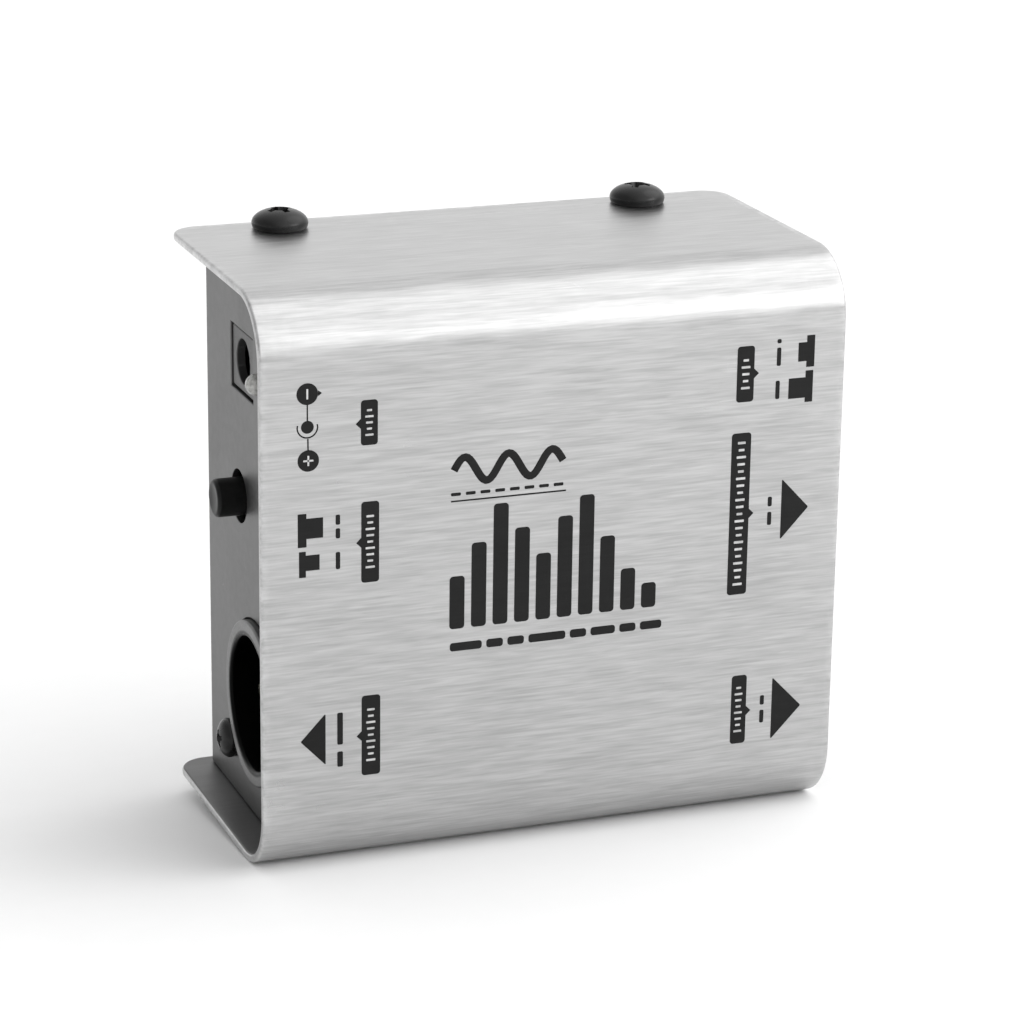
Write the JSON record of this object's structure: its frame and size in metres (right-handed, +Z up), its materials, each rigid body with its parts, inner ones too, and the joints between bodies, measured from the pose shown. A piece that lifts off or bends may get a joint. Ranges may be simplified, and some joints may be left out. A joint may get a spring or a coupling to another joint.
{
  "type": "direct injection box",
  "caption": "Small brushed-steel direct box: a bent cover over a chassis, with a three-pin output, power inlet, jack sockets and push buttons.",
  "frame": {"origin": "bottom centre of the whole box's bounding box, lower screw heads and rear feet included", "axes": "+X along the front face towards the jack end, +Y to the rear, where the feet are, +Z up; the printed front face looks towards -Y"},
  "size_m": [0.084, 0.047, 0.0866],
  "materials": {
    "brushed_cover": "stainless sheet, fine brushed grain along the box's width",
    "satin_chassis": "satin plated sheet",
    "black_screw": "black oxide, slightly glossy",
    "foot_rubber": "matte black rubber",
    "satin_nickel": "satin nickel plate",
    "black_insulator": "moulded black plastic",
    "contact_metal": "plated contact brass",
    "wire_sleeve": "soft coloured wire sleeve",
    "grey_housing": "moulded dark grey plastic",
    "lamp_lens": "diffused pale lens",
    "tinned_leads": "tinned wire",
    "pale_plunger": "natural moulded plastic",
    "spring_steel": "bright spring wire",
    "black_button": "moulded black plastic",
    "board_green": "solder-masked glass-fibre board",
    "standoff_brass": "plain turned brass",
    "can_sleeve": "shrunk plastic sleeve",
    "film_red": "dipped red lacquer",
    "resistor_blue": "blue lacquer"
  },
  "bodies": {
    "box": {"cover": "brushed_cover", "chassis": "satin_chassis", "cover_screws": "black_screw", "rubber_feet": "foot_rubber", "output_shell": "satin_nickel", "output_insert": "black_insulator", "output_pins": "contact_metal", "output_screws": "black_screw", "output_nuts": "satin_nickel", "output_wires": "wire_sleeve", "inlet_housing": "grey_housing", "inlet_pin": "contact_metal", "inlet_contact": "contact_metal", "power_lamp": "lamp_lens", "lamp_leads": "tinned_leads", "ground_switch_body": "black_insulator", "ground_switch_terminals": "tinned_leads", "ground_spring": "spring_steel", "pad_switch_body": "black_insulator", "pad_switch_terminals": "tinned_leads", "pad_spring": "spring_steel", "input_jack_body": "black_insulator", "input_jack_bushing": "satin_nickel", "input_jack_contacts": "contact_metal", "link_jack_body": "black_insulator", "link_jack_bushing": "satin_nickel", "link_jack_contacts": "contact_metal", "jack_washers": "satin_nickel", "jack_nuts": "satin_nickel", "circuit_board": "board_green", "standoffs": "standoff_brass", "board_screws": "satin_nickel", "standoff_screws": "black_screw", "front_amplifier_chip": "black_insulator", "output_amplifier_chip": "black_insulator", "chip_legs": "tinned_leads", "supply_capacitor": "can_sleeve", "coupling_capacitor": "can_sleeve", "filter_capacitor": "can_sleeve", "output_capacitor": "can_sleeve", "film_capacitors": "film_red", "transistors": "black_insulator", "resistors": "resistor_blue"},
    "ground_button": {"ground_button": "black_button", "ground_plunger": "pale_plunger"},
    "pad_button": {"pad_button": "black_button", "pad_plunger": "pale_plunger"}
  },
  "joints": [
    {"name": "ground_button_push", "type": "slide", "parent": "box", "child": "ground_button", "axis": [1, 0, 0], "range_m": [0, 0.0025], "stiffness_N_per_m": 300, "springref_m": -0.0015, "deforming": ["ground_spring"]},
    {"name": "pad_button_push", "type": "slide", "parent": "box", "child": "pad_button", "axis": [-1, 0, 0], "range_m": [0, 0.0025], "stiffness_N_per_m": 300, "springref_m": -0.0015, "deforming": ["pad_spring"]}
  ]
}
